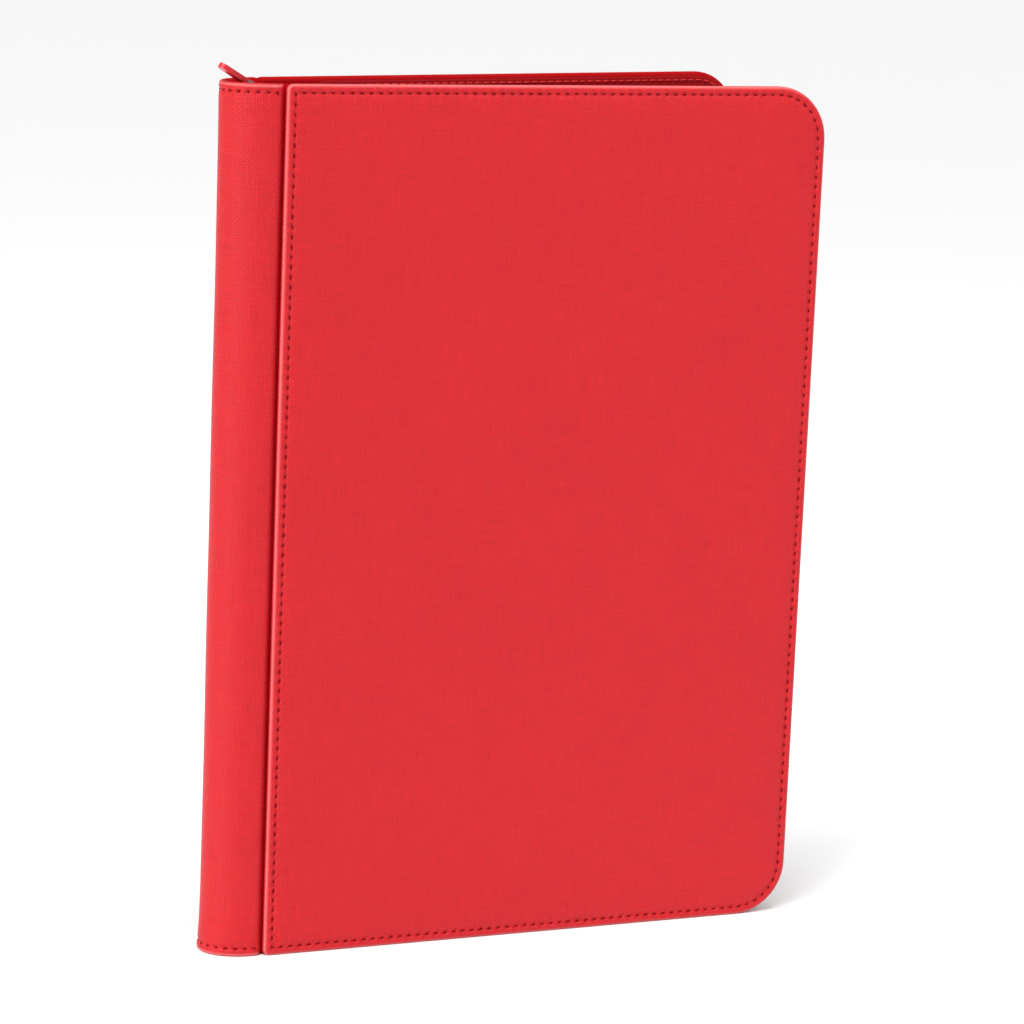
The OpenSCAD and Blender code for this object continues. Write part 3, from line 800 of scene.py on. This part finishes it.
tape_profile = [
    (1.75, 4.56), (1.75, 4.86), (2.4, 4.98), (4.0, 5.0), (5.6, 5.02), (6.1, 5.2), (6.42, 5.7), (6.52, 7.0),
    (6.52, 10.0), (6.52, 13.0), (6.6, 15.05),
    (7.0, 15.05), (7.08, 13.0), (7.08, 10.0), (7.08, 6.6), (6.95, 5.4), (6.55, 4.8), (6.1, 4.58),
    (4.0, 4.54),
]
for side in ("front", "back"):
    base = zip_path(0.0)
    sections, runs, run_at = [], [], 0.0
    spread = random.Random(4)
    bows = [(spread.uniform(0.01, 0.05), spread.uniform(0, 6.28), spread.uniform(0.08, 0.2))
            for _ in range(5)]
    for k, (u, z, nu, nz) in enumerate(base):
        if k:
            run_at += math.hypot(u - base[k - 1][0], z - base[k - 1][1])
        runs.append(run_at)
        wave = sum(a * math.sin(f * run_at + p) for f, p, a in bows)
        section = []
        for inset, w in tape_profile:
            lean = wave * max(0.0, (w - 5.0) / 10.0) ** 2 * (1.0 - max(0.0, (w - 12.0) / 4.0))
            section.append(on_cover(side, u - nu * (inset + lean), w, z - nz * (inset + lean)))
        sections.append(section)
    tape = swept(f"{side}_tape", sections, True, tape_cloth, runs)
    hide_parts(f"{side}_zip_tape")
    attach(tape, f"{side}_cover")

# ---- Zip coils -----------------------------------------------------------------------------
# Each half is one nylon filament wound in loops over the edge of the tape, with a flattened
# head on every loop, sewn down by two rows of chain stitch.
coil_finish, tree, shader = new_material("coil_nylon", (0.30, 0.006, 0.010), 0.28, 0.5)
coords = tree.nodes.new("ShaderNodeTexCoord")
mottle = noise_at(tree, coords.outputs["Object"], (700, 700, 700), 2.0)
tone = tree.nodes.new("ShaderNodeHueSaturation")
tone.inputs["Color"].default_value = (0.30, 0.006, 0.010, 1)
tree.links.new(calc(tree, "MULTIPLY_ADD", mottle, 0.5), tone.inputs["Value"])
[n for n in tree.nodes if n.bl_idname == "ShaderNodeMath"][-1].inputs[2].default_value = 0.75
tree.links.new(tone.outputs[0], shader.inputs["Base Color"])
tooth = tube(
    [(-0.1, -2.35, 0.80), (0.0, -1.6, 0.92), (0.05, -0.8, 0.90), (0.1, -0.3, 0.74), (0.1, -0.06, 0.42),
     (0.1, 0.0, 0.0),
     (0.1, -0.06, -0.42), (0.1, -0.3, -0.74), (0.1, -0.8, -0.90), (0.2, -1.6, -0.92), (0.45, -2.35, -0.78),
     (0.62, -2.5, 0.0), (0.7, -2.35, 0.75)],
    [0.26, 0.27, 0.27, 0.30, 0.36, 0.40, 0.36, 0.30, 0.27, 0.27, 0.26, 0.24, 0.2], 6,
)
TOOTH = 1.55


def along_path(points, pitch):
    run, out, k = [0.0], [], 0
    for p, q in zip(points, points[1:]):
        run.append(run[-1] + (q[0] - p[0]).length / MM)
    count = int(run[-1] / pitch)
    for m in range(count + 1):
        s = (m + 0.25) * run[-1] / (count + 0.5)
        while run[k + 1] < s:
            k += 1
        f = (s - run[k]) / (run[k + 1] - run[k])
        out.append(tuple(a * (1 - f) + b * f for a, b in zip(points[k], points[k + 1])))
    return out


for side, sign in (("front", 1), ("back", -1)):
    inward = (on_cover(side, 50, 10, 0) - on_cover(side, 50, 9, 0)).normalized()
    path = []
    for u, z, nu, nz in zip_path(WALL):
        out_way = (on_cover(side, u + nu, 10, z + nz) - on_cover(side, u, 10, z)).normalized()
        path.append((on_cover(side, u, COIL1 - 0.4, z), out_way))
    if side == "back":
        for k in range(1, 31):
            u = SEWN + (-14.0 + 0.6 - SEWN) * k / 30
            path.append((on_cover(side, u, COIL1 - 0.4, height - WALL), Vector((0, 0, 1))))
    spots = [(p, inward.cross(n.normalized()), n.normalized()) for p, n in along_path(path, TOOTH)]
    coil = row(f"{side}_coil_teeth", spots, tooth, coil_finish, unevenness=0.0, seed=2)
    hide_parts(f"{side}_zip_coil")
    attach(coil, f"{side}_cover")
strip_sections, runs = [], []
for k in range(25):
    u = SEWN + 0.5 + (-14.0 - SEWN - 0.5) * k / 24
    runs.append(k * 42.5 / 24)
    strip_sections.append([on_cover("back", u, w, height - 6.8 + h) for w,
                           h in ((11.7, -0.2), (11.7, 0.2), (12.2, 0.28), (13.4, 0.28), (15.0, 0.24),
                                 (15.0, -0.24), (13.4, -0.28), (12.2, -0.28))])
strip = swept("back_tape_end", strip_sections, True, tape_cloth, runs)
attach(strip, "back_cover")

# ---- Loose zip ends ------------------------------------------------------------------------
# From where the front zip is sewn on, its tape and coil run free over the seam to the slider,
# and both halves run free at the bottom to the stop.
middle_y = lambda u, v: Vector((hinge.x + (u - NOSE) * math.cos(ajar) - (v + hinge.y) * math.sin(ajar),
                                -hinge.y + (u - NOSE) * math.sin(ajar) + (v + hinge.y) * math.cos(ajar), 0))


def loose_end(name, node, root, root_way, sewn, sewn_way, z, away):
    """A tape's free end: root and sewn are the plan positions of the head line of its coil."""
    bend = []
    reach = (sewn - root).length * 0.36
    ctrl = [root, root + root_way * reach, sewn - sewn_way * reach, sewn]
    straight = 14.0
    for k in range(8):
        bend.append((root - root_way * straight * (1 - k / 8), root_way))
    for k in range(33):
        t = k / 32
        p = ctrl[0] * (1 - t) ** 3 + ctrl[1] * 3 * t * (1 - t) ** 2 + ctrl[2] * 3 * t * t * (1
                - t) + ctrl[3] * t ** 3
        d = (ctrl[1] - ctrl[0]) * (1 - t) ** 2 + (ctrl[2] - ctrl[1]) * 2 * t * (1 - t) + (ctrl[3]
                - ctrl[2]) * t * t
        bend.append((p, d.normalized()))
    sections, runs, points, at_run = [], [], [], 0.0
    for k, (p, d) in enumerate(bend):
        if k:
            at_run += (p - bend[k - 1][0]).length
        runs.append(at_run)
        outward = Vector((d.y, -d.x, 0)) * away
        sections.append([(p + outward * a + Vector((0, 0, z + h))) * MM for a,
                         h in ((1.1, -0.24), (1.1, 0.24), (2.7, 0.28), (3.9, 0.28), (4.4, 0.2), (4.4, -0.2),
                               (3.9, -0.28), (2.7, -0.28))])
        points.append(((p + outward * 0.4 + Vector((0, 0, z))) * MM, -outward))
    tape = swept(f"{name}_tape", sections, True, tape_cloth, runs)
    up = Vector((0, 0, 1))
    away_from_slider = name == "front_top_end"
    teeth = row(f"{name}_teeth", [(p, n.cross(up).normalized(), up) for p,
                                  n in along_path(points[3:] if away_from_slider else points, TOOTH)],
                tooth, coil_finish, unevenness=0.0)
    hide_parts(node)
    for piece, slot_name in ((tape, "zip_tape"), (teeth, "zip_coil")):
        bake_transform(piece)


front_way = Vector((math.cos(ajar), -math.sin(ajar), 0))
back_way = Vector((math.cos(ajar), math.sin(ajar), 0))
sewn_front = on_cover("front", SEWN, COIL1, 0) / MM
sewn_back = on_cover("back", SEWN, COIL1, 0) / MM
loose_end("front_top_end", "front_top_tail", middle_y(0, -0.9), back_way, sewn_front, front_way, height
          - WALL, 1)
loose_end("front_bottom_end", "front_bottom_tail", Vector((seam_x, -0.9, 0)), Vector((1, 0, 0)), sewn_front,
          front_way, WALL, 1)
loose_end("back_bottom_end", "back_bottom_tail", Vector((seam_x, 0.9, 0)), Vector((1, 0, 0)), sewn_back,
          back_way, WALL, -1)

# ---- Leaves --------------------------------------------------------------------------------
# Twenty leaves of black sheet with nine clear side-loading pockets on each face, welded along
# their edges. The film bellies slightly and its mouth stands open by a hair.
backing, tree, shader = new_material("page_backing", (0.012, 0.012, 0.014), 0.5, 0.4)
coords = tree.nodes.new("ShaderNodeTexCoord")
add_bump(tree, shader, noise_at(tree, coords.outputs["Object"], (2500, 2500, 2500), 3.0), 0.00003)
film, tree, shader = new_material("page_film", (0.75, 0.78, 0.80), 0.12, 0.6)
shader.inputs["Alpha"].default_value = 0.28
shader.inputs["Coat Weight"].default_value = 0.3
coords = tree.nodes.new("ShaderNodeTexCoord")
add_bump(tree, shader, noise_at(tree, coords.outputs["Object"], (35, 35, 35), 2.0), 0.0010)
if hasattr(film, "surface_render_method"):
    film.surface_render_method = "BLENDED"
weld, tree, shader = new_material("page_weld", (0.05, 0.05, 0.055), 0.35, 0.5)
coords = tree.nodes.new("ShaderNodeTexCoord")
add_bump(tree, shader, noise_at(tree, coords.outputs["Object"], (1600, 1600, 1600), 1.0), 0.00004)

LEAF_W, LEAF_Z0, LEAF_H, LEAF_R = 209.67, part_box("page_01")[0].z / MM, (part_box("page_01")[1].z
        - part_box("page_01")[0].z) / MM, 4.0
for number in range(1, 21):
    joint = joints[f"page_{number:02d}_turn"]
    crease = Vector(joint["pos_m"]) / MM
    sign = -1 if number <= 10 else 1
    theta = math.radians(-joint["range_deg"][0] - 0.01)
    along_leaf = Vector((math.cos(theta), sign * math.sin(theta), 0))
    off_leaf = Vector((-sign * math.sin(theta), math.cos(theta), 0))

    def on_leaf(u, n, z):
        return (Vector((crease.x, crease.y, 0)) + along_leaf * u + off_leaf * n
                + Vector((0, 0, LEAF_Z0 + z))) * MM

    form = bmesh.new()
    ring = [(0.0, 0.0), (LEAF_W - LEAF_R, 0.0)]
    ring += [(LEAF_W - LEAF_R + LEAF_R * math.sin(q), LEAF_R - LEAF_R * math.cos(q))
             for q in [math.pi / 2 * k / 6 for k in range(1, 7)]]
    ring += [(LEAF_W - LEAF_R + LEAF_R * math.cos(q), LEAF_H - LEAF_R + LEAF_R * math.sin(q))
             for q in [math.pi / 2 * k / 6 for k in range(7)]]
    ring += [(0.0, LEAF_H)]
    low = [form.verts.new(on_leaf(u, -0.14, z)) for u, z in ring]
    high = [form.verts.new(on_leaf(u, 0.14, z)) for u, z in ring]
    form.faces.new(low)
    form.faces.new(high)
    for k in range(len(ring)):
        form.faces.new((low[k], low[(k + 1) % len(ring)], high[(k + 1) % len(ring)], high[k]))
    spread = random.Random(number)
    margin_u, margin_z, gap = 9.0, 8.0, 3.0
    pocket_w = (LEAF_W - margin_u - 4.5 - 2 * gap) / 3
    pocket_h = (LEAF_H - 2 * margin_z - 2 * gap) / 3
    for face_way in (-1, 1):
        for i in range(3):
            for j in range(3):
                u0, z0 = margin_u + i * (pocket_w + gap), margin_z + j * (pocket_h + gap)
                belly, lean = spread.uniform(0.05, 0.10), spread.uniform(-0.3, 0.3)
                grid = []
                for b in range(9):
                    line = []
                    for a in range(9):
                        fa, fb = a / 8, b / 8
                        swell = math.sin(math.pi * fb) ** 0.6 if 0 < b < 8 else 0.0
                        swell *= (1 - fa ** 3) * (0.75 + 0.25 * math.cos(math.pi * (fa + lean)))
                        line.append(form.verts.new(on_leaf(u0 + pocket_w * fa, face_way
                                                           * (0.17 + belly * swell), z0 + pocket_h * fb)))
                    grid.append(line)
                for b in range(8):
                    for a in range(8):
                        face = form.faces.new((grid[b][a], grid[b][a + 1], grid[b + 1][a + 1],
                                               grid[b + 1][a]))
                        face.smooth, face.material_index = True, 1
                for u_a, u_b, z_a, z_b in (
                    (u0 - 0.5, u0 + pocket_w + 0.9, z0 - 1.0, z0),
                    (u0 - 0.5, u0 + pocket_w + 0.9, z0 + pocket_h, z0 + pocket_h + 1.0),
                    (u0 + pocket_w, u0 + pocket_w + 0.9, z0, z0 + pocket_h),
                ):
                    bar = [form.verts.new(on_leaf(u, face_way * n, z)) for n,
                           e in ((0.15, 0.0), (0.2, 0.18)) for u, z in
                           ((u_a + e, z_a + e), (u_b - e, z_a + e), (u_b - e, z_b - e), (u_a + e, z_b - e))]
                    form.faces.new(bar[4:]).material_index = 2
                    for k in range(4):
                        form.faces.new((bar[k], bar[(k + 1) % 4], bar[4 + (k + 1) % 4],
                                        bar[4 + k])).material_index = 2
    bmesh.ops.recalc_face_normals(form, faces=form.faces)
    mesh = bpy.data.meshes.new(f"leaf_{number:02d}")
    form.to_mesh(mesh)
    form.free()
    leaf = bpy.data.objects.new(f"leaf_{number:02d}", mesh)
    scene.collection.objects.link(leaf)
    for finish_material in (backing, film, weld):
        mesh.materials.append(finish_material)
    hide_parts(f"page_{number:02d}")
    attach(leaf, f"page_{number:02d}")

# ---- Binding -------------------------------------------------------------------------------
# The leaves' fixed margins, the strip that they are sewn to and the thread through them keep
# their modelled form, with a sheet finish on the margins and the strip and a cord finish on the thread.
margin_finish, tree, shader = new_material("binding_sheet", (0.016, 0.016, 0.018), 0.45, 0.4)
coords = tree.nodes.new("ShaderNodeTexCoord")
add_bump(tree, shader, noise_at(tree, coords.outputs["Object"], (1800, 1800, 1800), 3.0), 0.00004)
cord_finish, tree, shader = new_material("binding_cord", (0.55, 0.52, 0.47), 0.7, 0.3)
coords = tree.nodes.new("ShaderNodeTexCoord")
ply = tree.nodes.new("ShaderNodeTexWave")
ply.bands_direction = "DIAGONAL"
ply.inputs["Scale"].default_value = 900
tree.links.new(coords.outputs["Object"], ply.inputs["Vector"])
add_bump(tree, shader, ply.outputs["Fac"], 0.0001)
for node, finish_material in (("page_margins", margin_finish), ("binding_strip", margin_finish),
                              ("binding_thread", cord_finish)):
    for slot in frame["nodes"][node].material_slots:
        slot.material = finish_material

# ---- Slider and pull -----------------------------------------------------------------------
# Die-cast slider, enamelled red like the pull tab, with a bare metal link between them. They
# keep their modelled form, with the edges eased.
enamel, tree, shader = new_material("slider_enamel", (0.46, 0.006, 0.012), 0.36, 0.4)
shader.inputs["Coat Weight"].default_value = 0.2
shader.inputs["Coat Roughness"].default_value = 0.12
coords = tree.nodes.new("ShaderNodeTexCoord")
add_bump(tree, shader, noise_at(tree, coords.outputs["Object"], (500, 500, 500), 2.0), 0.00006)
metal, tree, shader = new_material("zip_metal", (0.62, 0.60, 0.58), 0.3, 0.5, 1.0)
coords = tree.nodes.new("ShaderNodeTexCoord")
scuffs = noise_at(tree, coords.outputs["Object"], (2500, 2500, 300), 3.0)
add_bump(tree, shader, scuffs, 0.00003)
for node, finish_material in (("slider_body", enamel), ("slider_bridge", enamel), ("pull_tab", enamel),
                              ("pull_link", metal), ("bottom_stop", metal)):
    solid = frame["nodes"][node]
    for slot in solid.material_slots:
        slot.material = finish_material
    bevel = solid.modifiers.new("edges", "BEVEL")
    bevel.width = 0.00022 if node != "pull_link" else 0.0001
    bevel.segments = 2
    bevel.limit_method = "ANGLE"
    bevel.angle_limit = math.radians(40)

# ---- End tab -------------------------------------------------------------------------------
# A folded tab of cover cloth closes the end of the zip past the slider: flat and round-edged,
# and drawn in along its middle where it is sewn through.
tab_finish = woven("tab_cloth", (0.46, 0.0075, 0.0125), 0.6, 0.04, 0.55, 0.4, 0.08, 0.06)
near, far = (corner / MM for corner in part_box("top_end_tab"))
middle, half_y, half_z = (near + far) / 2, (far.y - near.y) / 2, (far.z - near.z) / 2
form = bmesh.new()
cloth = form.loops.layers.uv.new("Cloth")
rounds = []
for along, broad, thick in ((0, 0.82, 0.62), (0.03, 0.93, 0.86), (0.10, 0.99, 0.97), (0.22, 1, 1),
                            (0.36, 0.99, 0.97), (0.44, 0.98, 0.84),
                            (0.50, 0.98, 0.80), (0.56, 0.98, 0.84), (0.64, 0.99, 0.97), (0.80, 1, 1),
                            (0.91, 0.99, 0.97), (0.97, 0.94, 0.88), (1, 0.84, 0.66)):
    x = near.x + (far.x - near.x) * along
    turn = []
    for k in range(32):
        c, d = math.cos(k * math.pi / 16), math.sin(k * math.pi / 16)
        y = middle.y + half_y * broad * math.copysign(abs(c) ** 0.35, c)
        z = middle.z + half_z * thick * math.copysign(abs(d) ** 0.55, d)
        turn.append(form.verts.new(Vector((x, y, z)) * MM))
    rounds.append(turn)
for a, b in zip(rounds, rounds[1:]):
    for k in range(32):
        form.faces.new((a[k], a[(k + 1) % 32], b[(k + 1) % 32], b[k]))
form.faces.new(rounds[0])
form.faces.new(rounds[-1])
for face in form.faces:
    face.smooth = len(face.verts) == 4
    for loop in face.loops:
        loop[cloth].uv = (loop.vert.co.x / MM, (loop.vert.co.y + loop.vert.co.z) / MM)
bmesh.ops.recalc_face_normals(form, faces=form.faces)
mesh = bpy.data.meshes.new("end_tab_cloth")
form.to_mesh(mesh)
form.free()
end_tab = bpy.data.objects.new("end_tab_cloth", mesh)
scene.collection.objects.link(end_tab)
mesh.materials.append(tab_finish)
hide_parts("top_end_tab")
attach(end_tab, "back_cover")

# ---- Foam and board ------------------------------------------------------------------------
# The padding and the stiffeners inside the covers, which only show where a cover is cut away:
# pale open foam over grey pressed board.
card = {"foam": (0.85, 0.82, 0.74), "greyboard": (0.42, 0.38, 0.32)}
for node, kind in (("front_padding", "foam"), ("back_padding", "foam"), ("front_board", "greyboard"),
                   ("back_board", "greyboard")):
    plain, tree, shader = new_material(node + "_" + kind, card[kind], 0.9, 0.2)
    coords = tree.nodes.new("ShaderNodeTexCoord")
    add_bump(tree, shader, noise_at(tree, coords.outputs["Object"], (1200, 1200, 1200), 3.0), 0.0001)
    for slot in frame["nodes"][node].material_slots:
        slot.material = plain

for template in (sunk_thread, raised_thread, tooth):
    bpy.data.objects.remove(template)
